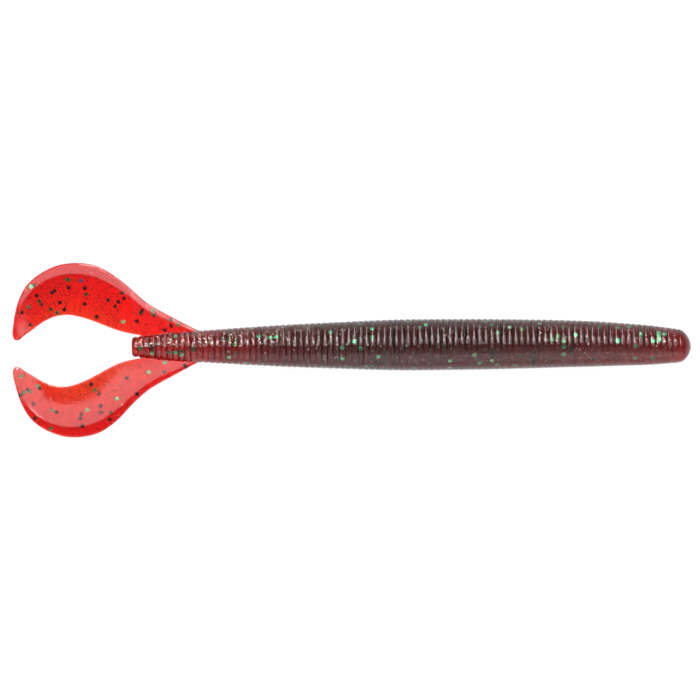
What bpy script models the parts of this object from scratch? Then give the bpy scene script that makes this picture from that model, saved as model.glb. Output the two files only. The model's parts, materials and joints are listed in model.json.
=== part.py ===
"""A ribbed soft plastic worm with two flat curled tails, lying belly down on z = 0.

+X runs towards the nose, +Y to the worm's left and +Z up. The body is a row of
short ribbed links. Their ends are low roofs whose ridges lie on the bend lines,
which in turn bend the worm sideways and lift its rear. Each tail is a
wedge-shaped blade in three links that curl upwards.
"""

import math

import bmesh
import bpy
import numpy as np
from mathutils import Matrix, Vector

MM = 0.001

SIDES = 20            # flats round the body, one of them facing straight down
AXIS_Y = 0.72         # the body's long axis, beside the middle of the whole outline
REAR_X = -53.4        # flat rear end of the body
RIB_PITCH = 1.443
RIB_COUNT = 92        # ribs between the rear end and the smooth nose
GROOVE_HALF_WIDTH = 0.27
GROOVE_DEPTH_REAR = 0.36
GROOVE_DEPTH_FRONT = 0.27
STEM_RIBS = 18        # ribs of the stem that carries the tails
LINK_RIBS = 6         # ribs of each body link
LINK_COUNT = 11

# Crest radius of the body along x.
BODY_OUTLINE = [
    (-53.4, 2.40), (-45.3, 3.37), (-36.8, 3.89), (-25.8, 4.59), (-14.9, 5.20),
    (-4.0, 5.65), (10.6, 6.20), (25.2, 6.22), (39.8, 6.04), (58.0, 5.59),
    (65.3, 5.26), (72.6, 4.85), (79.36, 4.15),
]
# How far the body's middle lies towards -Y of the long axis: the back slopes down to the
# nose more than the belly rises.
NOSE_DROOP = [(50.0, 0.0), (60.0, 0.14), (70.0, 0.42), (78.0, 0.70), (82.5, 0.88)]
# The smooth nose ahead of the last rib, down to its small flat.
NOSE_OUTLINE = [(79.7, 4.10), (80.8, 3.45), (81.8, 2.33), (82.3, 1.45), (82.5, 0.90)]

GAP = 0.3             # clearance between neighbouring links
SIDE_BEND = 18.0      # degrees each way at a bend line that turns sideways
LIFT_BEND = 18.0      # degrees upwards at a bend line that lifts the rear of the worm
# Each tail's bend lines: x, degrees upwards and degrees down to the floor.
TAIL_BENDS = [(-56.7, 45.0, 2.0), (-64.0, 40.0, 2.0), (-71.3, 35.0, 2.0)]
ROOF_MARGIN = 0.6     # degrees of slope beyond half the bend

TAIL_Z = 3.0          # middle plane of the tails
RIDGE_SHARE = 0.2     # the thickest line, as a share of the width from the outer edge
OUTER_EDGE_HALF = {"left": 0.84, "right": 0.94}
RIDGE_HALF = 1.05
INNER_EDGE_HALF = 0.45
# Outer and inner edge of the left tail, from inside the body to the tip, as
# (x, distance from the body's axis).
TAIL_EDGES = [
    ((-35.6, 3.0), (-35.6, 0.5)), ((-40.7, 5.7), (-40.7, 0.8)),
    ((-46.5, 8.8), (-46.5, 1.1)), ((-49.2, 10.4), (-49.2, 1.5)),
    ((-51.4, 12.2), (-51.0, 2.7)), ((-53.8, 14.4), (-53.5, 3.2)),
    ((-59.6, 18.8), (-58.6, 4.7)), ((-62.5, 20.0), (-61.3, 5.8)),
    ((-65.5, 20.5), (-64.0, 6.8)), ((-68.4, 20.5), (-66.9, 7.6)),
    ((-71.3, 20.0), (-69.3, 7.9)), ((-74.2, 18.8), (-72.0, 7.5)),
    ((-76.9, 17.1), (-74.2, 6.6)), ((-79.1, 14.9), (-76.1, 5.4)),
    ((-80.6, 12.2), (-77.7, 4.2)), ((-81.6, 9.1), (-78.9, 3.4)),
    ((-82.3, 5.0), (-80.0, 2.5)), ((-82.4, 2.7), (-80.8, 2.0)),
    ((-82.0, 1.9), (-81.4, 1.8)),
]
TIP_LINKS_THIN_FROM = 12  # edge pairs from here to the tip get thinner
# The right tail hangs a little further out than the left one, and is slightly shorter.
SWAY_DEGREES = {"left": 0.0, "right": 6.0}
LENGTH_FACTOR = {"left": 1.0, "right": 0.97}
SWAY_PIVOT = (-53.8, 12.8)
SWAY_HALF_ZONE = 3.6


FORWARD = Vector((1.0, 0.0, 0.0))
LEFT = Vector((0.0, 1.0, 0.0))
UP = Vector((0.0, 0.0, 1.0))

BODY_COLOUR = (0.12, 0.022, 0.022)
TAIL_COLOUR = (0.62, 0.02, 0.012)
BODY_ROUGHNESS = 0.3
TAIL_ROUGHNESS = 0.25


def start_empty_scene():
    for obj in list(bpy.data.objects):
        bpy.data.objects.remove(obj, do_unlink=True)


def make_material(name, colour, roughness):
    """Clear soft plastic: dark where the body is thick, red where the tails are thin."""
    material = bpy.data.materials.new(name)
    material.use_nodes = True
    shader = material.node_tree.nodes["Principled BSDF"]
    shader.inputs["Base Color"].default_value = (*colour, 1.0)
    shader.inputs["Roughness"].default_value = roughness
    shader.inputs["Metallic"].default_value = 0.0
    material.diffuse_color = (*colour, 1.0)
    return material


def body_radius(x):
    """Crest radius of the ribbed body at x."""
    places, radii = zip(*BODY_OUTLINE)
    return float(np.interp(x, places, radii))


def middle_y(x):
    """Where the middle of the body lies across at x."""
    places, droops = zip(*NOSE_DROOP)
    return AXIS_Y - float(np.interp(x, places, droops))


def groove_depth(x):
    share = (x - REAR_X) / (NOSE_OUTLINE[0][0] - REAR_X)
    return GROOVE_DEPTH_REAR + (GROOVE_DEPTH_FRONT - GROOVE_DEPTH_REAR) * share


def rib_x(rib):
    """Where the groove behind this rib lies."""
    return REAR_X + rib * RIB_PITCH


def rib_rings(first, last):
    """(x, radius, height of the centre) of the rings of these ribs: a groove, then a crest.

    The belly of every crest touches z = 0.
    """
    rings = []
    for rib in range(first, last):
        groove = rib_x(rib)
        radius = body_radius(groove)
        rings.append((groove, radius - groove_depth(groove), radius))
        for x in (groove + GROOVE_HALF_WIDTH, groove + RIB_PITCH - GROOVE_HALF_WIDTH):
            rings.append((x, body_radius(x), body_radius(x)))
    return rings


def rear_end_rings():
    """The flat rear end with its rounded corner, in front of which the ribs begin."""
    radius = body_radius(REAR_X)
    return [(REAR_X, radius - 0.75, radius), (REAR_X + 0.2, radius - 0.2, radius)]


def nose_rings():
    """The smooth nose, centred on the height where the last rib ends."""
    last = rib_x(RIB_COUNT)
    height = body_radius(last)
    rings = [(last, height - GROOVE_DEPTH_FRONT, height)]
    return rings + [(x, radius, height) for x, radius in NOSE_OUTLINE]


def ring_points(x, radius, height):
    """A ring of flats that touch the circle of this radius."""
    corner = radius / math.cos(math.pi / SIDES)
    angles = [2 * math.pi * (k + 0.5) / SIDES for k in range(SIDES)]
    return [
        Vector((x, middle_y(x) + corner * math.cos(a), height + corner * math.sin(a)))
        for a in angles
    ]


def loft(rings):
    """A closed mesh through rings of equally many points, with a flat face on each end."""
    mesh = bmesh.new()
    rows = [[mesh.verts.new(point) for point in ring] for ring in rings]
    count = len(rows[0])
    for row, following in zip(rows, rows[1:]):
        for k in range(count):
            after = (k + 1) % count
            mesh.faces.new((row[k], row[after], following[after], following[k]))
    mesh.faces.new(list(reversed(rows[0])))
    mesh.faces.new(rows[-1])
    bmesh.ops.recalc_face_normals(mesh, faces=mesh.faces)
    return mesh


def cut_flat(mesh, point, normal):
    """Removes what lies beyond the plane, on the side its normal points to, and closes the cut."""
    geometry = mesh.verts[:] + mesh.edges[:] + mesh.faces[:]
    made = bmesh.ops.bisect_plane(
        mesh, geom=geometry, dist=1e-5, plane_co=point, plane_no=normal, clear_outer=True
    )
    rim = [part for part in made["geom_cut"] if isinstance(part, bmesh.types.BMEdge)]
    rim = [edge for edge in rim if edge.is_valid and edge.is_boundary]
    bmesh.ops.edgeloop_fill(mesh, edges=rim)
    bmesh.ops.recalc_face_normals(mesh, faces=mesh.faces)


def cut_roof(mesh, line, facing):
    """Ends a link in a low roof whose ridge is the bend line.

    The line is (point, first, bend, second, other bend): the roof slopes by half of each
    bend on the side of the line that this bend closes. facing is the way the end looks.
    """
    point, first, bend, second, other_bend = line
    start = point - facing * (GAP / 2)
    for side, degrees in ((first, bend), (second, other_bend)):
        slope = math.radians(degrees / 2 + ROOF_MARGIN)
        cut_flat(mesh, start, facing * math.cos(slope) + side * math.sin(slope))


def finish_object(name, mesh, origin=None, tail=False):
    """Makes the object from millimetres, with its origin on its bend line."""
    origin = origin or Vector((0.0, 0.0, 0.0))
    mesh.transform(Matrix.Translation(-origin))
    mesh.transform(Matrix.Scale(MM, 4))
    data = bpy.data.meshes.new(name)
    mesh.to_mesh(data)
    mesh.free()
    if tail:
        data.materials.append(make_material(name, TAIL_COLOUR, TAIL_ROUGHNESS))
    else:
        data.materials.append(make_material(name, BODY_COLOUR, BODY_ROUGHNESS))
    data.shade_smooth()
    data.set_sharp_from_angle(angle=math.radians(28))
    obj = bpy.data.objects.new(name, data)
    obj.location = origin * MM
    bpy.context.scene.collection.objects.link(obj)
    return obj


def body_bend_line(index):
    """Body bend line number index, counted from the stem: upright ones bend sideways, others lift."""
    x = rib_x(STEM_RIBS + index * LINK_RIBS)
    point = Vector((x, AXIS_Y, body_radius(x)))
    if index % 2 == 0:
        return point, LEFT, SIDE_BEND, -LEFT, SIDE_BEND
    return point, UP, LIFT_BEND, -UP, 0.0


def tail_bend_line(index):
    x, up, down = TAIL_BENDS[index]
    return Vector((x, AXIS_Y, TAIL_Z)), UP, up, -UP, down


def build_nose():
    rings = rib_rings(STEM_RIBS + LINK_COUNT * LINK_RIBS - 1, RIB_COUNT) + nose_rings()
    mesh = loft([ring_points(*ring) for ring in rings])
    cut_roof(mesh, body_bend_line(LINK_COUNT), -FORWARD)
    finish_object("nose_section", mesh)


def build_link(index):
    """Body link number index, counted from the stem; its origin is on the bend line ahead of it."""
    first = STEM_RIBS + index * LINK_RIBS
    rings = rib_rings(first - 1, first + LINK_RIBS + 1)
    mesh = loft([ring_points(*ring) for ring in rings])
    front = body_bend_line(index + 1)
    cut_roof(mesh, body_bend_line(index), -FORWARD)
    cut_roof(mesh, front, FORWARD)
    finish_object(f"body_link_{LINK_COUNT - index:02d}", mesh, front[0])


def sway(point, side):
    """Turns an edge point of a tail outwards about the sway pivot, gently where the tail leaves."""
    share = (SWAY_PIVOT[0] + SWAY_HALF_ZONE - point[0]) / (2 * SWAY_HALF_ZONE)
    share = min(1.0, max(0.0, share))
    share = share * share * (3 - 2 * share)
    turn = math.radians(SWAY_DEGREES[side]) * share
    dx, dy = point[0] - SWAY_PIVOT[0], point[1] - SWAY_PIVOT[1]
    if dx < 0:
        dx *= LENGTH_FACTOR[side]
    x = dx * math.cos(turn) + dy * math.sin(turn)
    y = -dx * math.sin(turn) + dy * math.cos(turn)
    return SWAY_PIVOT[0] + x, SWAY_PIVOT[1] + y


def blade_section(side, outer, inner, thickness):
    """Six corners of the blade: thin outer edge, thick ridge near it, thin inner edge."""
    outer, inner = Vector((*outer, 0)), Vector((*inner, 0))
    ridge = outer.lerp(inner, RIDGE_SHARE)
    corners = [(outer, OUTER_EDGE_HALF[side]), (ridge, RIDGE_HALF), (inner, INNER_EDGE_HALF)]
    top = [Vector((p.x, p.y, half * thickness)) for p, half in corners]
    bottom = [Vector((p.x, p.y, -half * thickness)) for p, half in reversed(corners)]
    return top + bottom


def whole_blade(side):
    """The whole blade of one tail, from inside the body to its rounded tip."""
    rings = []
    thinning = len(TAIL_EDGES) - TIP_LINKS_THIN_FROM
    for number, (outer, inner) in enumerate(TAIL_EDGES):
        passed = max(0, number - TIP_LINKS_THIN_FROM) / thinning
        thickness = 1.0 - 0.45 * passed
        ring = blade_section(side, sway(outer, side), sway(inner, side), thickness)
        turned = 1 if side == "left" else -1
        rings.append([Vector((p.x, AXIS_Y + turned * p.y, TAIL_Z + p.z)) for p in ring])
    return loft(rings)


def build_tail_links(side):
    for index, part in enumerate(("inner", "middle", "tip")):
        mesh = whole_blade(side)
        line = tail_bend_line(index)
        cut_roof(mesh, line, FORWARD)
        if index + 1 < len(TAIL_BENDS):
            cut_roof(mesh, tail_bend_line(index + 1), -FORWARD)
        finish_object(f"{side}_tail_{part}", mesh, line[0], tail=True)


def join_to(obj, other):
    """Unites other with obj and leaves one object."""
    union = obj.modifiers.new("join", "BOOLEAN")
    union.operation = "UNION"
    union.solver = "EXACT"
    union.object = other
    graph = bpy.context.evaluated_depsgraph_get()
    joined = bpy.data.meshes.new_from_object(obj.evaluated_get(graph))
    obj.modifiers.clear()
    obj.data = joined
    bpy.data.objects.remove(other, do_unlink=True)


def build_stem():
    """The ribbed rear of the body in one piece with the roots of both tails."""
    line = body_bend_line(0)
    rings = rear_end_rings() + rib_rings(0, STEM_RIBS + 1)[1:]
    mesh = loft([ring_points(*ring) for ring in rings])
    cut_roof(mesh, line, FORWARD)
    stem = finish_object("tail_stem", mesh, line[0])
    for side in ("left", "right"):
        fin = whole_blade(side)
        cut_roof(fin, tail_bend_line(0), -FORWARD)
        join_to(stem, finish_object(f"{side}_fin", fin))
    stem.data.shade_smooth()
    stem.data.set_sharp_from_angle(angle=math.radians(28))


def main():
    start_empty_scene()
    build_nose()
    for index in range(LINK_COUNT):
        build_link(index)
    build_stem()
    build_tail_links("left")
    build_tail_links("right")


main()
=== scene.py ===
"""The look of the soft plastic worm: clear red plastic skins with flakes inside, on a light table.

All shapes are worked out in millimetres in the frame's own axes and stored in metres.
"""

import json
import math
import random

import bmesh
import bpy
import numpy as np
from mathutils import Matrix, Vector


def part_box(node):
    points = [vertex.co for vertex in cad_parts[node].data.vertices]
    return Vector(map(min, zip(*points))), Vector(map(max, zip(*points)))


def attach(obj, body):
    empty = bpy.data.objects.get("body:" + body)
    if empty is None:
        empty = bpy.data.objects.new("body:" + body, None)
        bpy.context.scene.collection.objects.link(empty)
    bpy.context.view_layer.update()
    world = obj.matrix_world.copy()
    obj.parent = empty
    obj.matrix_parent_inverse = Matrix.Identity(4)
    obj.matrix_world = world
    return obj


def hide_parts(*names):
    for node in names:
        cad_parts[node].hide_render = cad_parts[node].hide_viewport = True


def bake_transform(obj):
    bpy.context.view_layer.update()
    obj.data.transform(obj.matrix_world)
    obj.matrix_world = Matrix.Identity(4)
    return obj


MM = 0.001
SHARP_EDGE = 65               # degrees between faces from which an edge stays sharp
TAIL_PARTS = ("inner", "middle", "tip")

# ---- body -----------------------------------------------------------------------------
REAR_X = -53.4                # flat rear end of the body
RIB_PITCH = 1.443
RIB_COUNT = 92                # ribs between the rear end and the smooth nose
RIBS_BESIDE_JOINT = 3         # ribs of a body skin on each side of its joint
BODY_SKINS = 12               # one for each joint of the body
AROUND = 72                   # points round the body
RIB_RINGS = (0.0, 0.07, 0.17, 0.31, 0.5, 0.69, 0.83, 0.93)   # places of the rings in a rib
RIB_ROUNDNESS = 2.6           # a higher number makes flatter crests and narrower grooves
# Depth of the grooves along x, on the +Y side and on the -Y side.
BACK_GROOVE = [(-53.4, 0.29), (40.0, 0.27), (79.4, 0.21)]
BELLY_GROOVE = [(-53.4, 0.27), (0.0, 0.20), (22.0, 0.11), (79.4, 0.07)]
BELLY_FROM, BELLY_TO = 0.0, -0.42     # between these shares towards +Y one depth becomes the other
# Crest radius along x.
BODY_OUTLINE = [
    (-53.4, 2.40), (-45.3, 3.38), (-36.8, 3.91), (-25.8, 4.62), (-14.9, 5.24),
    (-4.0, 5.69), (10.6, 6.22), (25.2, 6.24), (39.8, 6.06), (58.0, 5.60),
    (65.3, 5.25), (72.6, 4.84), (79.36, 4.14),
]
# The rear end's rounded corner: how far along x, and how far inside the crest radius.
REAR_CORNER = [(0.0, 0.95), (0.02, 0.6), (0.12, 0.3), (0.3, 0.12), (0.5, 0.03)]
REAR_CORNER_END = 0.45        # the first rib begins here, as a share of a rib
# Radius of the smooth nose along x.
NOSE_OUTLINE = [
    (79.55, 4.08), (79.9, 3.99), (80.3, 3.82), (80.7, 3.58), (81.1, 3.24), (81.5, 2.78),
    (81.8, 2.33), (82.05, 1.85), (82.25, 1.35), (82.4, 0.85), (82.47, 0.4),
]
# How far towards +Y of its long axis the body's middle lies, along x.
NOSE_DROOP = [(50.0, 0.0), (60.0, -0.14), (70.0, -0.42), (78.0, -0.70), (82.5, -0.88)]
SEAM = 0.008                  # how far each skin runs on into its neighbour

# ---- tails ----------------------------------------------------------------------------
TAIL_Z = 3.0                  # middle plane of the tails
RIDGE_SHARE = 0.2             # the thickest line, as a share of the width from the outer edge
# Half the thickness at the outer edge, on the ridge and at the inner edge.
EDGE_HALF = {"left": 0.84, "right": 0.94}
RIDGE_HALF = 1.05
INNER_HALF = 0.45
FULL_WIDTH = 12.0             # a narrower blade thins less, so that its faces keep their slope
OUTER_RIM, INNER_RIM = 0.38, 0.26         # how far in the rounding of the edges reaches
TAPER = {"left": 1.05, "right": 2.7}      # how soon the blade thins from the ridge inwards
LEAN = {"left": 0.0, "right": 0.30}       # how much higher the inner edge is than the ridge
LEAN_START, LEAN_ZONE = 2.0, 8.0          # it begins this far behind the body, and grows over this
TIP_LEAN = {"left": 0.35, "right": -0.30}      # the same as LEAN at the tip
TIP_FROM, TIP_TO = -73.0, -79.0           # one lean becomes the other between these
TIP_FLAKES_END = -81.4                    # the last flakes lie ahead of this
# Outer and inner edge of the left tail from inside the body to the tip: (x, distance from axis).
TAIL_EDGES = [
    ((-35.6, 3.0), (-35.6, 0.5)), ((-40.7, 5.7), (-40.7, 0.8)),
    ((-46.5, 8.8), (-46.5, 1.1)), ((-49.2, 10.4), (-49.2, 1.5)),
    ((-51.4, 12.2), (-51.0, 2.7)), ((-53.8, 14.4), (-53.5, 3.2)),
    ((-56.7, 16.8), (-56.0, 3.8)),
    ((-59.6, 18.7), (-58.6, 4.7)), ((-62.5, 20.0), (-61.3, 5.8)),
    ((-65.5, 20.5), (-64.0, 6.8)), ((-68.4, 20.5), (-66.9, 7.6)),
    ((-71.3, 20.0), (-69.3, 7.9)), ((-74.2, 18.8), (-72.0, 7.5)),
    ((-76.9, 17.1), (-74.2, 6.6)), ((-79.1, 14.9), (-76.1, 5.4)),
    ((-80.6, 12.2), (-77.7, 4.2)), ((-81.6, 9.1), (-78.9, 3.4)),
    ((-82.3, 5.0), (-80.0, 2.5)), ((-82.4, 3.3), (-80.6, 2.0)),
    ((-82.1, 2.1), (-81.4, 1.75)),
]
THIN_FROM = 13                # edge pairs from here to the tip get thinner
TIP_THICKNESS = 0.5           # as a share of the thickness elsewhere
# The right tail hangs a little further out than the left one, and is slightly shorter.
SWAY_DEGREES = {"left": 0.0, "right": 6.0}
LENGTH_FACTOR = {"left": 1.0, "right": 0.97}
SWAY_PIVOT = (-53.8, 12.8)
SWAY_HALF_ZONE = 3.6
SLICE_STEPS = 6               # rings between two edge pairs of a tail
# Where a ring of a tail has points, as shares of the width from the outer edge.
ACROSS = [
    0.0, 0.001, 0.004, 0.009, 0.016, 0.026, 0.038, 0.052, 0.07, 0.1, 0.14, 0.18, 0.195,
    0.205, 0.22, 0.25, 0.3, 0.36, 0.43, 0.51, 0.6, 0.69, 0.78, 0.86, 0.92,
    0.955, 0.97, 0.98, 0.988, 0.994, 0.998, 1.0,
]
FIN_LENGTH = 3.0              # how far ahead of its first bend line a tail is cut from the stem
FINS_START = -37.0            # where the fins come out of the body
MERGE_DISTANCE = 1e-5         # points this near to a cut are taken to lie on it

# ---- plastic --------------------------------------------------------------------------
PLASTIC_IOR = 1.48
GREEN_LOSS, BLUE_LOSS = 3600.0, 5000.0    # how fast the plastic swallows light, per metre
GRAIN_SCALE, GRAIN_STRENGTH = 2600.0, 0.6
# Loss of red per metre, unevenness of the surface in metres, lowest and highest roughness.
TAIL_LOOK = (180.0, 0.000015, (0.02, 0.07))
STEM_LOOK = (145.0, 0.00003, (0.09, 0.20))
# Loss of red in each body skin from the nose backwards, and the rest of its look.
BODY_LOSSES = [210.0, 215.0, 225.0, 235.0, 240.0, 245.0, 245.0, 250.0, 255.0, 250.0, 225.0, 185.0]
BODY_LOOK = (0.00007, (0.04, 0.09))

# ---- flakes ---------------------------------------------------------------------------
# Sizes are radii. A pair in brackets holds the lowest and the highest value of a random draw.
GREEN_SLOT, DARK_GREEN_SLOT, BLUE_SLOT, PEPPER_SLOT, SILVER_SLOT = range(5)
FLAKE_CORNERS = 6
FLAKE_HALF, FLAKE_HALF_SHARE = 0.012, 0.06     # half the thickness at most, and per radius
SHIMMER_SCALE = 700.0         # of the colour's changes over a flake
SHIMMER_FROM, SHIMMER_TO = 0.4, 0.6
BIG_FLAKE = 0.53
BODY_BIG_PER_MM = 1.4
BODY_BIG_MARGIN = 0.7         # how far inside the ends of a piece they lie
NEAR_SHARE, NEAR_GREEN_SHARE = 0.85, 0.8       # large ones just under the skin; green among them
NEAR_DEPTH, FAR_DEPTH = (0.13, 0.18), (0.35, 0.6)
NEAR_TILT, FAR_TILT = 4, 10   # degrees
BODY_PEPPER_PER_MM = 55
BODY_PEPPER_MARGIN = 0.25
BODY_PEPPER_SIZE = (0.10, 0.18)
BODY_PEPPER_DEPTH, BODY_PEPPER_SPREAD = 0.06, 0.4
BODY_PEPPER_TILT = 18
SILVER_PER_MM, SILVER_AT_REAR = 30.0, 60.0     # everywhere, and how many more at the rear
SILVER_FROM, SILVER_TO = -35.0, 15.0      # between these the silver flakes get fewer
SILVER_MARGIN = 0.2
SILVER_SIZE = (0.065, 0.11)
SILVER_DEPTH, SILVER_SPREAD = 0.02, 0.02
SILVER_TILT = 25
REAR_MARGIN, NOSE_MARGIN = 0.6, 0.6       # no flakes this near to the ends of the body

BIG_IN_TAIL = {"left": 60, "right": 48}
BIG_IN_TAIL_TILT = 2.5
TAIL_PEPPER = (1150, 0.07, 0.14, 8, PEPPER_SLOT)    # draws, lowest and highest size, tilt, slot
TAIL_SILVER = (160, 0.05, 0.10, 10, SILVER_SLOT)
OUTER_BAND = 0.3              # share of the width that counts as the outer band
# Painted light: the band that faces the key lamps gets more green large flakes, and the band that
# lies in shade gets more black ones.
GREEN_SHARE_BY_LIGHT = {"left": (0.5, 0.12), "right": (0.3, 0.35)}     # in the outer band, further in
DARK_GREEN_SHARE = 0.15
TAIL_SHARES = (0.03, 0.97)    # how far across a blade flakes are drawn
EDGE_MARGIN, END_MARGIN = 0.2, 0.02       # from the blade's edges, from the ends of its parts
FACE_MARGIN, FACE_SHARE = 0.06, 0.12      # from the blade's faces, plus this share of the size
BESIDE_BODY, BEHIND_BODY = 0.3, 0.5       # tail flakes keep this far away from the body
# Large flakes lie near a face: the least share of the room, the rest of it, and the power that
# pulls them outwards.
FACE_PULL = (0.5, 0.5, 0.4)

# Each place has its own random draws, which start from the seed plus its number.
SEED = 41
NOSE_DRAWS, STEM_DRAWS = 20, 30
TAIL_DRAWS = {"left": 40, "right": 50}

# ---- stage: metres from here on -------------------------------------------------------
FLOOR_SIZE, FLOOR_Z = 4.0, -0.00008
FLOOR_GREY, FLOOR_GLOW = 0.08, 0.95
LAMPS = (
    # name, lowest and highest degree from straight up towards +Y, first and last x, radiance
    ("key_wide", 0.3, 45, -0.6, 1.0, 2.95),
    ("key_middle", 15, 38, -0.1, 0.16, 16.0),
    ("key_high", 38, 62, -0.08, 0.2, 9.0),
    ("key_far", 62, 88, -0.08, 0.2, 6.0),
    ("fill_low", -42, -13, -1.0, 1.0, 0.52),
    ("fill_far", -88, -42, -1.0, 1.0, 1.4),
)
LAMP_DISTANCE = 1.0
ROOM_GREY, THROUGH_GREY, BACKDROP_GREY = 0.35, 0.08, 0.9
BACKDROP_FADE = (0.35, 0.15)              # how steeply up a ray looks where it begins, is full
CAMERA_DISTANCE, VIEW_WIDTH = 0.9, 0.1701
CAMERA_X, CAMERA_Y = -0.00033, -0.00044
VIEW_Z = 0.004                            # the view is VIEW_WIDTH wide at this height
CAMERA_TURN = -0.44                       # degrees
SENSOR_WIDTH = 36.0                       # millimetres, as Blender has it

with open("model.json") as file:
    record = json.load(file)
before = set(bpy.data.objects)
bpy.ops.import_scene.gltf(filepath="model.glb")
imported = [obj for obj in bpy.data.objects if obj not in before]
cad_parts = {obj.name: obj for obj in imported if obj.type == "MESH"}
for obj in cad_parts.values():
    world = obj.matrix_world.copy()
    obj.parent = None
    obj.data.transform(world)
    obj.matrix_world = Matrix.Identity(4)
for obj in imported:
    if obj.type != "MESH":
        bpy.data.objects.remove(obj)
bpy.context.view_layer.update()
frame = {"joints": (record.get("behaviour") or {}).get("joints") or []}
joints = {j["name"]: j for j in frame["joints"]}
AXIS_Y = joints["side_bend_02"]["pos_m"][1] / MM


# ---- shape of the body ----------------------------------------------------------------
def smooth_line(points, x):
    """A smooth curve through the points, each given as (place, value)."""
    places = [p for p, _ in points]
    values = [v for _, v in points]
    if x <= places[0]:
        return values[0]
    if x >= places[-1]:
        return values[-1]
    k = max(i for i, p in enumerate(places) if p <= x)
    x0, x1 = places[k], places[k + 1]
    slopes = []
    for i in (k, k + 1):
        a, b = max(i - 1, 0), min(i + 1, len(points) - 1)
        slopes.append((values[b] - values[a]) / (places[b] - places[a]))
    t = (x - x0) / (x1 - x0)
    w = x1 - x0
    h00 = 2 * t**3 - 3 * t**2 + 1
    h10 = t**3 - 2 * t**2 + t
    h01 = -2 * t**3 + 3 * t**2
    h11 = t**3 - t**2
    return h00 * values[k] + h10 * w * slopes[0] + h01 * values[k + 1] + h11 * w * slopes[1]


def crest_radius(x):
    return smooth_line(BODY_OUTLINE, x)


def rib_x(rib):
    """Where the groove behind this rib lies."""
    return REAR_X + rib * RIB_PITCH


def straight_line(points, x):
    return float(np.interp(x, [p for p, _ in points], [v for _, v in points]))


def smooth_step(share):
    share = min(1.0, max(0.0, share))
    return share * share * (3 - 2 * share)


def groove_depth(x, aside):
    """Depth of a groove; aside is how far towards +Y it is measured, as a share of the radius."""
    belly = smooth_step((aside - BELLY_FROM) / (BELLY_TO - BELLY_FROM))
    back = straight_line(BACK_GROOVE, x)
    return back + (straight_line(BELLY_GROOVE, x) - back) * belly


def skin_radius(x, aside):
    """Radius of the ribbed skin, aside as above: rounded crests between sharp grooves."""
    u = ((x - REAR_X) / RIB_PITCH) % 1.0
    return crest_radius(x) - groove_depth(x, aside) * abs(2 * u - 1) ** RIB_ROUNDNESS


def axis_height(x):
    """Height of the body's middle: its belly rests on the floor up to the smooth nose."""
    return crest_radius(min(x, rib_x(RIB_COUNT)))


def axis_y(x):
    """The body's middle; the back slopes down to the nose more than the belly rises."""
    return AXIS_Y + smooth_line(NOSE_DROOP, x)


def ring(x, radius_at):
    """A ring round the body; radius_at gives the radius for a share towards +Y."""
    z = axis_height(x)
    points = []
    for k in range(AROUND):
        a = 2 * math.pi * (k + 0.5) / AROUND
        r = radius_at(math.cos(a))
        points.append((x, axis_y(x) + r * math.cos(a), z + r * math.sin(a)))
    return points


def plain_ring(x, radius):
    return ring(x, lambda aside: radius)


def rib_ring(x):
    return ring(x, lambda aside: skin_radius(x, aside))


def rib_rings(first, last):
    """The rings of these ribs, each rib from the groove behind it."""
    return [rib_ring(rib_x(rib) + u * RIB_PITCH) for rib in range(first, last) for u in RIB_RINGS]


def groove_ring(rib, shift):
    """A ring in the groove behind the rib, moved a little along the body."""
    x = rib_x(rib)
    moved = ring(x, lambda aside: crest_radius(x) - groove_depth(x, aside))
    return [(x + shift, y, z) for _, y, z in moved]


def loft(rings):
    """A closed mesh through the rings, with a flat end on each side."""
    mesh = bmesh.new()
    rows = [[mesh.verts.new(point) for point in points] for points in rings]
    count = len(rows[0])
    for row, following in zip(rows, rows[1:]):
        for k in range(count):
            after = (k + 1) % count
            mesh.faces.new((row[k], row[after], following[after], following[k]))
    mesh.faces.new(list(reversed(rows[0])))
    mesh.faces.new(rows[-1])
    bmesh.ops.recalc_face_normals(mesh, faces=mesh.faces)
    return mesh


def body_piece(first, last):
    """The skin between the grooves behind rib first and behind rib last."""
    rings = [groove_ring(first, -SEAM)] + rib_rings(first, last)[1:]
    return loft(rings + [groove_ring(last, SEAM)])


def nose_piece(first):
    """The ribs from rib first on, with the smooth nose."""
    rings = [groove_ring(first, -SEAM)] + rib_rings(first, RIB_COUNT)[1:]
    rings.append(groove_ring(RIB_COUNT, 0.0))
    rings += [plain_ring(x, radius) for x, radius in NOSE_OUTLINE]
    return loft(rings)


def stem_piece(last):
    """The thin rear of the body with its flat end and rounded corner."""
    radius = crest_radius(REAR_X)
    rings = [plain_ring(REAR_X + along, radius - inwards) for along, inwards in REAR_CORNER]
    rings += [rib_ring(REAR_X + u * RIB_PITCH) for u in RIB_RINGS if u > REAR_CORNER_END]
    rings += rib_rings(1, last)
    return loft(rings + [groove_ring(last, SEAM)])


# ---- shape of the tails ---------------------------------------------------------------
def sway(x, y, side):
    """Turns a point of a tail outwards about the sway pivot, gently where the tail leaves."""
    share = (SWAY_PIVOT[0] + SWAY_HALF_ZONE - x) / (2 * SWAY_HALF_ZONE)
    turn = math.radians(SWAY_DEGREES[side]) * smooth_step(share)
    dx, dy = x - SWAY_PIVOT[0], y - SWAY_PIVOT[1]
    if dx < 0:
        dx *= LENGTH_FACTOR[side]
    return (
        SWAY_PIVOT[0] + dx * math.cos(turn) + dy * math.sin(turn),
        SWAY_PIVOT[1] - dx * math.sin(turn) + dy * math.cos(turn),
    )


def half_thickness(share, side, width):
    """Half the blade's thickness at a share of its width from the outer edge."""
    fall = min(1.0, width / FULL_WIDTH)
    if share <= RIDGE_SHARE:
        return RIDGE_HALF - (RIDGE_HALF - EDGE_HALF[side]) * fall * (1 - share / RIDGE_SHARE)
    q = (share - RIDGE_SHARE) / (1 - RIDGE_SHARE)
    return RIDGE_HALF - (RIDGE_HALF - INNER_HALF) * fall * (1 - (1 - q) ** TAPER[side])


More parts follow.
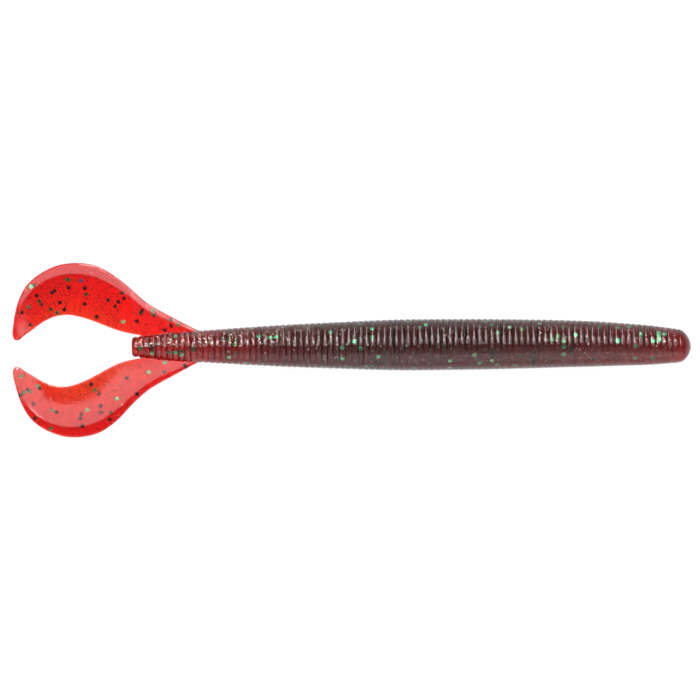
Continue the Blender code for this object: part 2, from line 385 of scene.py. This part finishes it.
def lift(x, share, side):
    """How far the blade's middle stands above TAIL_Z."""
    lean = LEAN[side] * smooth_step((REAR_X - LEAN_START - x) / LEAN_ZONE)
    lean += (TIP_LEAN[side] - LEAN[side]) * smooth_step((TIP_FROM - x) / (TIP_FROM - TIP_TO))
    return lean * (share - RIDGE_SHARE)


def edge_rounding(share, width):
    """1 away from the edges, falling to 0 on them, so that the rim is round."""
    q = min(share * width / OUTER_RIM, (1 - share) * width / INNER_RIM)
    return 1.0 if q >= 1 else math.sqrt(max(0.0, 1 - (1 - q) ** 2))


def catmull(a, b, c, d, t):
    """A point of the smooth curve through a, b, c and d, a share t of the way from b to c."""
    return 0.5 * (
        2 * b + (c - a) * t + (2 * a - 5 * b + 4 * c - d) * t**2 + (3 * b - a - 3 * c + d) * t**3
    )


def edge_pairs():
    """The tail's edge pairs with smooth in-between ones and a thickness factor."""
    points = [Vector((*outer, *inner)) for outer, inner in TAIL_EDGES]
    pairs = []
    for k in range(len(points) - 1):
        a, d = points[max(k - 1, 0)], points[min(k + 2, len(points) - 1)]
        for step in range(SLICE_STEPS):
            t = step / SLICE_STEPS
            place = catmull(a, points[k], points[k + 1], d, t)
            number = k + t
            passed = max(0.0, number - THIN_FROM) / (len(points) - 1 - THIN_FROM)
            pairs.append((place, 1.0 - (1.0 - TIP_THICKNESS) * passed))
    pairs.append((points[-1], TIP_THICKNESS))
    return pairs


def direction(side):
    """Which way along Y a tail hangs out from the body."""
    return 1 if side == "left" else -1


def blade(side):
    """The whole blade of one tail, from inside the body to its rounded tip."""
    turned = direction(side)
    rings = []
    for place, thin in edge_pairs():
        outer, inner = Vector(place[:2]), Vector(place[2:])
        width = (outer - inner).length
        section = []
        for upper in (1, -1):
            order = ACROSS if upper > 0 else ACROSS[-2:0:-1]
            for share in order:
                p = outer.lerp(inner, share)
                x, y = sway(p.x, p.y, side)
                z = upper * half_thickness(share, side, width) * thin * edge_rounding(share, width)
                section.append((x, AXIS_Y + turned * y, TAIL_Z + lift(x, share, side) + z))
        rings.append(section)
    return loft(rings)


def slice_at(mesh, x, keep_front):
    """Keeps what lies ahead of x, or behind it, and closes the cut."""
    facing = -1 if keep_front else 1
    made = bmesh.ops.bisect_plane(
        mesh,
        geom=mesh.verts[:] + mesh.edges[:] + mesh.faces[:],
        dist=MERGE_DISTANCE,
        plane_co=(x + facing * SEAM, 0, 0),
        plane_no=(facing, 0, 0),
        clear_outer=True,
    )
    rim = [part for part in made["geom_cut"] if isinstance(part, bmesh.types.BMEdge)]
    rim = [edge for edge in rim if edge.is_valid and edge.is_boundary]
    bmesh.ops.edgeloop_fill(mesh, edges=rim)
    bmesh.ops.recalc_face_normals(mesh, faces=mesh.faces)


# ---- objects --------------------------------------------------------------------------
def smooth(data):
    data.shade_smooth()
    data.set_sharp_from_angle(angle=math.radians(SHARP_EDGE))


def new_object(name, mesh, material):
    """Makes the object from millimetres."""
    mesh.transform(Matrix.Scale(MM, 4))
    data = bpy.data.meshes.new(name)
    mesh.to_mesh(data)
    mesh.free()
    data.materials.append(material)
    smooth(data)
    obj = bpy.data.objects.new(name, data)
    bpy.context.scene.collection.objects.link(obj)
    return obj


def unite(obj, other):
    """Unites other with obj and leaves one object."""
    union = obj.modifiers.new("join", "BOOLEAN")
    union.operation = "UNION"
    union.solver = "EXACT"
    union.object = other
    graph = bpy.context.evaluated_depsgraph_get()
    joined = bpy.data.meshes.new_from_object(obj.evaluated_get(graph))
    obj.modifiers.clear()
    obj.data = joined
    bpy.data.objects.remove(other, do_unlink=True)


# ---- materials ------------------------------------------------------------------------
def grey(level):
    return (level, level, level, 1.0)


def node_tree(name):
    """A new material, its nodes and links, and its shader and output nodes."""
    material = bpy.data.materials.new(name)
    material.use_nodes = True
    nodes = material.node_tree.nodes
    links = material.node_tree.links
    return material, nodes, links, nodes["Principled BSDF"], nodes["Material Output"]


def add_noise(nodes, links, scale, detail):
    """A noise fixed to the piece; its scale is per metre."""
    where = nodes.new("ShaderNodeTexCoord")
    noise = nodes.new("ShaderNodeTexNoise")
    noise.inputs["Scale"].default_value = scale
    noise.inputs["Detail"].default_value = detail
    links.new(where.outputs["Object"], noise.inputs["Vector"])
    return noise


def plastisol(name, red_loss, unevenness, roughness):
    """Clear red soft plastic: its colour comes only from how far light goes through it.

    red_loss is per metre, unevenness is in metres, and roughness goes from its first value
    to its second.
    """
    material, nodes, links, shader, output = node_tree(name)
    shader.inputs["Base Color"].default_value = grey(1.0)
    shader.inputs["Transmission Weight"].default_value = 1.0
    shader.inputs["IOR"].default_value = PLASTIC_IOR
    noise = add_noise(nodes, links, GRAIN_SCALE, detail=3.0)
    spread = nodes.new("ShaderNodeMapRange")
    spread.inputs["To Min"].default_value = roughness[0]
    spread.inputs["To Max"].default_value = roughness[1]
    links.new(noise.outputs["Fac"], spread.inputs["Value"])
    links.new(spread.outputs["Result"], shader.inputs["Roughness"])
    bump = nodes.new("ShaderNodeBump")
    bump.inputs["Strength"].default_value = GRAIN_STRENGTH
    bump.inputs["Distance"].default_value = unevenness
    links.new(noise.outputs["Fac"], bump.inputs["Height"])
    links.new(bump.outputs["Normal"], shader.inputs["Normal"])
    volume = nodes.new("ShaderNodeVolumeAbsorption")
    # Each colour's loss is the density times what is missing here from 1.
    colour = (1 - red_loss / BLUE_LOSS, 1 - GREEN_LOSS / BLUE_LOSS, 0.0)
    volume.inputs["Color"].default_value = (*colour, 1.0)
    volume.inputs["Density"].default_value = BLUE_LOSS
    links.new(volume.outputs["Volume"], output.inputs["Volume"])
    return material


def flake_material(name, colour, other, metallic, roughness):
    """A flake that shimmers between colour and other."""
    material, nodes, links, shader, _ = node_tree(name)
    noise = add_noise(nodes, links, SHIMMER_SCALE, detail=1.0)
    ramp = nodes.new("ShaderNodeValToRGB")
    ramp.color_ramp.elements[0].position = SHIMMER_FROM
    ramp.color_ramp.elements[0].color = (*colour, 1.0)
    ramp.color_ramp.elements[1].position = SHIMMER_TO
    ramp.color_ramp.elements[1].color = (*other, 1.0)
    links.new(noise.outputs["Fac"], ramp.inputs["Fac"])
    links.new(ramp.outputs["Color"], shader.inputs["Base Color"])
    shader.inputs["Metallic"].default_value = metallic
    shader.inputs["Roughness"].default_value = roughness
    return material


TAIL_PLASTIC = plastisol("clear_red_tail_plastic", *TAIL_LOOK)
STEM_PLASTIC = plastisol("clear_red_stem_plastic", *STEM_LOOK)
BODY_PLASTIC = [
    plastisol(f"clear_red_plastic_{number:02d}", loss, *BODY_LOOK)
    for number, loss in enumerate(BODY_LOSSES, start=1)
]
# In the order of the slots: name, colour, other colour, metallic, roughness.
FLAKES = [
    flake_material("flake_green", (0.03, 0.42, 0.24), (0.10, 0.60, 0.38), 1.0, 0.28),
    flake_material("flake_dark_green", (0.012, 0.20, 0.08), (0.04, 0.28, 0.08), 1.0, 0.35),
    flake_material("flake_blue", (0.03, 0.12, 0.75), (0.08, 0.2, 0.9), 1.0, 0.3),
    flake_material("flake_pepper", (0.012, 0.01, 0.01), (0.03, 0.025, 0.02), 0.2, 0.5),
    flake_material("flake_silver", (0.55, 0.90, 0.98), (0.75, 1.0, 0.95), 1.0, 0.25),
]


# ---- flakes ---------------------------------------------------------------------------
class FlakeBag:
    """Thin hexagonal discs gathered into one mesh."""

    def __init__(self):
        self.points = []
        self.faces = []
        self.slots = []

    def add(self, centre, normal, radius, slot, rng):
        normal = Vector(normal).normalized()
        side = normal.orthogonal().normalized()
        other = normal.cross(side)
        turn = rng.uniform(0, 2 * math.pi / FLAKE_CORNERS)
        first = len(self.points)
        half = normal * min(FLAKE_HALF, radius * FLAKE_HALF_SHARE)
        for offset in (half, -half):
            for k in range(FLAKE_CORNERS):
                a = turn + 2 * math.pi * k / FLAKE_CORNERS
                out = side * math.cos(a) + other * math.sin(a)
                self.points.append((Vector(centre) + offset + out * radius) * MM)
        top = [first + k for k in range(FLAKE_CORNERS)]
        bottom = [first + FLAKE_CORNERS + k for k in range(FLAKE_CORNERS)]
        self.faces.append(top)
        self.faces.append(list(reversed(bottom)))
        for k in range(FLAKE_CORNERS):
            after = (k + 1) % FLAKE_CORNERS
            self.faces.append([bottom[k], bottom[after], top[after], top[k]])
        self.slots += [slot] * (FLAKE_CORNERS + 2)

    def build(self, name):
        data = bpy.data.meshes.new(name)
        data.from_pydata(self.points, [], self.faces)
        for material in FLAKES:
            data.materials.append(material)
        data.polygons.foreach_set("material_index", self.slots)
        data.update()
        obj = bpy.data.objects.new(name, data)
        bpy.context.scene.collection.objects.link(obj)
        return obj


def tilted(normal, degrees, rng):
    """The normal leaning over to a random side, by an angle of about this many degrees."""
    lean = math.tan(math.radians(abs(rng.gauss(0, degrees))))
    turn = rng.uniform(0, 2 * math.pi)
    normal = Vector(normal).normalized()
    side = normal.orthogonal().normalized()
    return normal + (side * math.cos(turn) + normal.cross(side) * math.sin(turn)) * lean


def around(x, rng):
    """A random direction away from the body's axis, and the axis's point there."""
    a = rng.uniform(0, 2 * math.pi)
    return Vector((0, math.cos(a), math.sin(a))), Vector((x, axis_y(x), axis_height(x)))


def body_flakes(bag, x0, x1, rng):
    """Flakes inside the body between x0 and x1: large ones, pepper and silver."""
    length = x1 - x0
    for _ in range(round(length * BODY_BIG_PER_MM)):
        place = rng.uniform(x0 + BODY_BIG_MARGIN, x1 - BODY_BIG_MARGIN)
        x = rib_x(math.floor((place - REAR_X) / RIB_PITCH) + 0.5)
        out, axis = around(x, rng)
        near = rng.random() < NEAR_SHARE
        depth = rng.uniform(*(NEAR_DEPTH if near else FAR_DEPTH))
        slot = GREEN_SLOT if near and rng.random() < NEAR_GREEN_SHARE else DARK_GREEN_SLOT
        centre = axis + out * (crest_radius(x) - depth)
        normal = tilted(out, NEAR_TILT if near else FAR_TILT, rng)
        bag.add(centre, normal, BIG_FLAKE, slot, rng)
    for _ in range(round(length * BODY_PEPPER_PER_MM)):
        x = rng.uniform(x0 + BODY_PEPPER_MARGIN, x1 - BODY_PEPPER_MARGIN)
        out, axis = around(x, rng)
        size = rng.uniform(*BODY_PEPPER_SIZE)
        r = skin_radius(x, out.y) - BODY_PEPPER_DEPTH - size * 0.5
        r -= BODY_PEPPER_SPREAD * rng.random() ** 2
        bag.add(axis + out * r, tilted(out, BODY_PEPPER_TILT, rng), size, PEPPER_SLOT, rng)
    # Painted glints: towards the rear there are more silver flakes, and those drawn on the -Y side
    # are moved over to the +Y side, which faces the key lamps.
    rear_glint_share = smooth_step((SILVER_TO - x1) / (SILVER_TO - SILVER_FROM))
    for _ in range(round(length * (SILVER_PER_MM + SILVER_AT_REAR * rear_glint_share))):
        x = rng.uniform(x0 + SILVER_MARGIN, x1 - SILVER_MARGIN)
        out, axis = around(x, rng)
        if out.y < 0 and rng.random() < rear_glint_share:
            out.y = -out.y
        size = rng.uniform(*SILVER_SIZE)
        r = skin_radius(x, out.y) - SILVER_DEPTH - size * 0.5 - SILVER_SPREAD * rng.random()
        bag.add(axis + out * r, tilted(out, SILVER_TILT, rng), size, SILVER_SLOT, rng)


def blade_normal(x, share, width, side):
    """The direction the blade's upper face looks in, across the blade only."""
    step = 0.01                   # of the width, to each side
    low, high = max(0.0, share - step), min(1.0, share + step)
    rise = half_thickness(high, side, width) - half_thickness(low, side, width)
    rise += lift(x, high, side) - lift(x, low, side)
    return Vector((0, direction(side) * rise / ((high - low) * width), 1))


def tail_flakes(bag, side, x0, x1, rng, blue=False):
    """Flakes in the part of a blade between x0 and x1; its first large one is blue if asked."""
    pairs = edge_pairs()
    areas = [
        (a[0] - b[0]).length * (Vector(a[0][:2]) - Vector(a[0][2:])).length
        for a, b in zip(pairs, pairs[1:])
    ]
    # The slot of the large flakes is drawn one by one.
    large = (BIG_IN_TAIL[side], BIG_FLAKE, BIG_FLAKE, BIG_IN_TAIL_TILT, None)
    for count, smallest, largest, tilt, kind in (large, TAIL_PEPPER, TAIL_SILVER):
        for _ in range(count):
            number = rng.choices(range(len(areas)), areas)[0]
            place, thin = pairs[number]
            place = place.lerp(pairs[number + 1][0], rng.random())
            share = rng.uniform(*TAIL_SHARES)
            level = rng.uniform(-1, 1)
            size = rng.uniform(smallest, largest)
            outer, inner = Vector(place[:2]), Vector(place[2:])
            p = outer.lerp(inner, share)
            width = (outer - inner).length
            if min(share, 1 - share) * width < size + EDGE_MARGIN:
                continue
            x, y = sway(p.x, p.y, side)
            if not x0 + size + END_MARGIN < x < x1 - size - END_MARGIN:
                continue
            if y < crest_radius(x) + BESIDE_BODY and x > REAR_X - BEHIND_BODY:
                continue
            room = half_thickness(share, side, width) * thin * edge_rounding(share, width)
            room = room - FACE_MARGIN - size * FACE_SHARE
            slot = kind
            if kind is None:
                # Painted light: a band's green share follows how it faces the key lamps, so flakes
                # where light falls come out green and the others mostly black.
                green_by_light = GREEN_SHARE_BY_LIGHT[side][0 if share < OUTER_BAND else 1]
                chances = (green_by_light, DARK_GREEN_SHARE, 1 - DARK_GREEN_SHARE - green_by_light)
                slot = rng.choices((GREEN_SLOT, DARK_GREEN_SLOT, PEPPER_SLOT), chances)[0]
                if blue:
                    slot, blue = BLUE_SLOT, False
                # Black ones lie under either face, the others under the upper one.
                upper = level if slot == PEPPER_SLOT else 1
                least, rest, power = FACE_PULL
                level = math.copysign(least + rest * abs(level) ** power, upper)
            z = TAIL_Z + lift(x, share, side) + room * level
            normal = tilted(blade_normal(x, share, width, side), tilt, rng)
            bag.add((x, AXIS_Y + direction(side) * y, z), normal, size, slot, rng)


# ---- pieces ---------------------------------------------------------------------------
def nearest_rib(x):
    """The rib whose groove lies nearest to x."""
    return round((x - REAR_X) / RIB_PITCH)


def build_nose():
    """The smooth nose and the first ribs, in one skin that doesn't bend."""
    first = nearest_rib(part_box("nose_section")[0].x / MM) + RIBS_BESIDE_JOINT
    nose = new_object("nose_skin", nose_piece(first), BODY_PLASTIC[0])
    bag = FlakeBag()
    rng = random.Random(SEED + NOSE_DRAWS)
    body_flakes(bag, rib_x(first), rib_x(RIB_COUNT) - NOSE_MARGIN, rng)
    flakes = bag.build("nose_flakes")
    for obj in (nose, flakes):
        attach(obj, "nose_section")
    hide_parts("nose_section")


def build_body():
    """The skins that lie across the body's joints, from the nose backwards."""
    links = [f"body_link_{k:02d}" for k in range(1, BODY_SKINS)]
    order = ["nose_section"] + links + ["tail_stem"]
    for number, (ahead, behind) in enumerate(zip(order, order[1:]), start=1):
        joint = next(j for j in frame["joints"] if j["child"] == behind)
        rib = nearest_rib(joint["pos_m"][0] / MM)
        first, last = rib - RIBS_BESIDE_JOINT, rib + RIBS_BESIDE_JOINT
        plastic = BODY_PLASTIC[number - 1]
        skin = new_object(f"body_skin_{number:02d}", body_piece(first, last), plastic)
        x0, x1 = rib_x(first), rib_x(last)
        bag = FlakeBag()
        body_flakes(bag, x0, x1, random.Random(SEED + number))
        flakes = bag.build(f"body_flakes_{number:02d}")
        for obj in (skin, flakes):
            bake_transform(obj)
        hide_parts(behind)


def tail_cuts():
    """The tails' bend lines, and where their skins begin: half way between the lines."""
    lines = [joints[f"left_tail_{part}_bend"]["pos_m"][0] / MM for part in TAIL_PARTS]
    halfway = [(line + following) / 2 for line, following in zip(lines, lines[1:])]
    return lines, [lines[0] + FIN_LENGTH] + halfway


def build_stem():
    """The thin rear of the body in one closed skin with the fins that carry the tails."""
    last = nearest_rib(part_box("tail_stem")[1].x / MM) - RIBS_BESIDE_JOINT
    stem = new_object("stem_skin", stem_piece(last), STEM_PLASTIC)
    _, cuts = tail_cuts()
    for side in ("left", "right"):
        fin = blade(side)
        slice_at(fin, cuts[0], keep_front=True)
        unite(stem, new_object(f"{side}_fin", fin, STEM_PLASTIC))
    smooth(stem.data)
    bag = FlakeBag()
    rng = random.Random(SEED + STEM_DRAWS)
    body_flakes(bag, REAR_X + REAR_MARGIN, rib_x(last), rng)
    for side in ("left", "right"):
        tail_flakes(bag, side, cuts[0], FINS_START, rng)
    flakes = bag.build("stem_flakes")
    for obj in (stem, flakes):
        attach(obj, "tail_stem")
    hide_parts("tail_stem")


def build_tail(side):
    """The three skins of one tail, each of which lies across its own joint."""
    lines, cuts = tail_cuts()
    bodies = ["tail_stem"] + [f"{side}_tail_{part}" for part in TAIL_PARTS]
    for k, part in enumerate(TAIL_PARTS):
        mesh = blade(side)
        slice_at(mesh, cuts[k], keep_front=False)
        end = TIP_FLAKES_END
        if part != "tip":
            end = cuts[k + 1]
            slice_at(mesh, end, keep_front=True)
        skin = new_object(f"{side}_tail_skin_{part}", mesh, TAIL_PLASTIC)
        bag = FlakeBag()
        rng = random.Random(SEED + TAIL_DRAWS[side] + k)
        tail_flakes(bag, side, end, cuts[k], rng, blue=side == "left" and part == "middle")
        flakes = bag.build(f"{side}_tail_flakes_{part}")
        for obj in (skin, flakes):
            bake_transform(obj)
        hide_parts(bodies[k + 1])


build_body()
build_nose()
build_stem()
build_tail("left")
build_tail("right")


# ---- stage ----------------------------------------------------------------------------
def make_floor():
    """A table that glows softly, so that light comes up through the tails."""
    material, _, _, shader, _ = node_tree("floor_white")
    shader.inputs["Base Color"].default_value = grey(FLOOR_GREY)
    shader.inputs["Roughness"].default_value = 0.9
    shader.inputs["Specular IOR Level"].default_value = 0.0
    shader.inputs["Emission Color"].default_value = grey(1.0)
    shader.inputs["Emission Strength"].default_value = FLOOR_GLOW
    mesh = bmesh.new()
    bmesh.ops.create_grid(mesh, x_segments=2, y_segments=2, size=FLOOR_SIZE)
    data = bpy.data.meshes.new("floor")
    mesh.to_mesh(data)
    mesh.free()
    data.materials.append(material)
    floor = bpy.data.objects.new("floor", data)
    floor.location = (0, 0, FLOOR_Z)
    bpy.context.scene.collection.objects.link(floor)


def make_lamp(name, low, high, left, right, radiance):
    """A soft lamp that reaches from low to high, in degrees from straight up towards +Y.

    left and right are where it starts and ends along X.
    """
    middle = math.radians((low + high) / 2)
    height = 2 * LAMP_DISTANCE * math.tan(math.radians(high - low) / 2)
    light = bpy.data.lights.new(name, "AREA")
    light.shape = "RECTANGLE"
    light.size, light.size_y = right - left, height
    light.energy = radiance * math.pi * light.size * height
    obj = bpy.data.objects.new(name, light)
    y, z = LAMP_DISTANCE * math.sin(middle), LAMP_DISTANCE * math.cos(middle)
    obj.location = ((left + right) / 2, y, z)
    obj.rotation_euler = (-middle, 0, 0)
    obj.visible_camera = False
    bpy.context.scene.collection.objects.link(obj)


def make_world():
    """A dim room with a pale backdrop behind and round the table.

    The backdrop is what is seen straight on, and low down through the plastic. Higher up,
    the room is darker through the plastic than in a reflection.
    """
    world = bpy.data.worlds.new("studio")
    world.use_nodes = True
    nodes, links = world.node_tree.nodes, world.node_tree.links
    where = nodes.new("ShaderNodeTexCoord")
    split = nodes.new("ShaderNodeSeparateXYZ")
    links.new(where.outputs["Generated"], split.inputs["Vector"])
    low = nodes.new("ShaderNodeMapRange")
    low.inputs["From Min"].default_value = BACKDROP_FADE[0]
    low.inputs["From Max"].default_value = BACKDROP_FADE[1]
    links.new(split.outputs["Z"], low.inputs["Value"])
    path = nodes.new("ShaderNodeLightPath")
    through = nodes.new("ShaderNodeMath")
    through.operation = "MULTIPLY"
    links.new(path.outputs["Is Transmission Ray"], through.inputs[0])
    links.new(low.outputs["Result"], through.inputs[1])
    either = nodes.new("ShaderNodeMath")
    either.operation = "MAXIMUM"
    links.new(path.outputs["Is Camera Ray"], either.inputs[0])
    links.new(through.outputs["Value"], either.inputs[1])
    mix = nodes.new("ShaderNodeMix")
    mix.data_type = "RGBA"
    dark = nodes.new("ShaderNodeMix")
    dark.data_type = "RGBA"
    dark.inputs["A"].default_value = grey(ROOM_GREY)
    dark.inputs["B"].default_value = grey(THROUGH_GREY)
    links.new(path.outputs["Is Transmission Ray"], dark.inputs["Factor"])
    links.new(dark.outputs["Result"], mix.inputs["A"])
    mix.inputs["B"].default_value = grey(BACKDROP_GREY)
    links.new(either.outputs["Value"], mix.inputs["Factor"])
    links.new(mix.outputs["Result"], nodes["Background"].inputs["Color"])
    nodes["Background"].inputs["Strength"].default_value = 1.0
    bpy.context.scene.world = world


def make_camera():
    """A camera straight above the worm."""
    camera = bpy.data.cameras.new("camera")
    camera.sensor_width = SENSOR_WIDTH
    camera.lens = SENSOR_WIDTH * CAMERA_DISTANCE / VIEW_WIDTH
    camera.clip_start, camera.clip_end = 0.01, 20.0
    obj = bpy.data.objects.new("camera", camera)
    obj.location = (CAMERA_X, CAMERA_Y, CAMERA_DISTANCE + VIEW_Z)
    obj.rotation_euler.z = math.radians(CAMERA_TURN)
    bpy.context.scene.collection.objects.link(obj)
    bpy.context.scene.camera = obj


make_floor()
for lamp in LAMPS:
    make_lamp(*lamp)
make_world()
make_camera()
bpy.context.scene.view_settings.view_transform = "Standard"
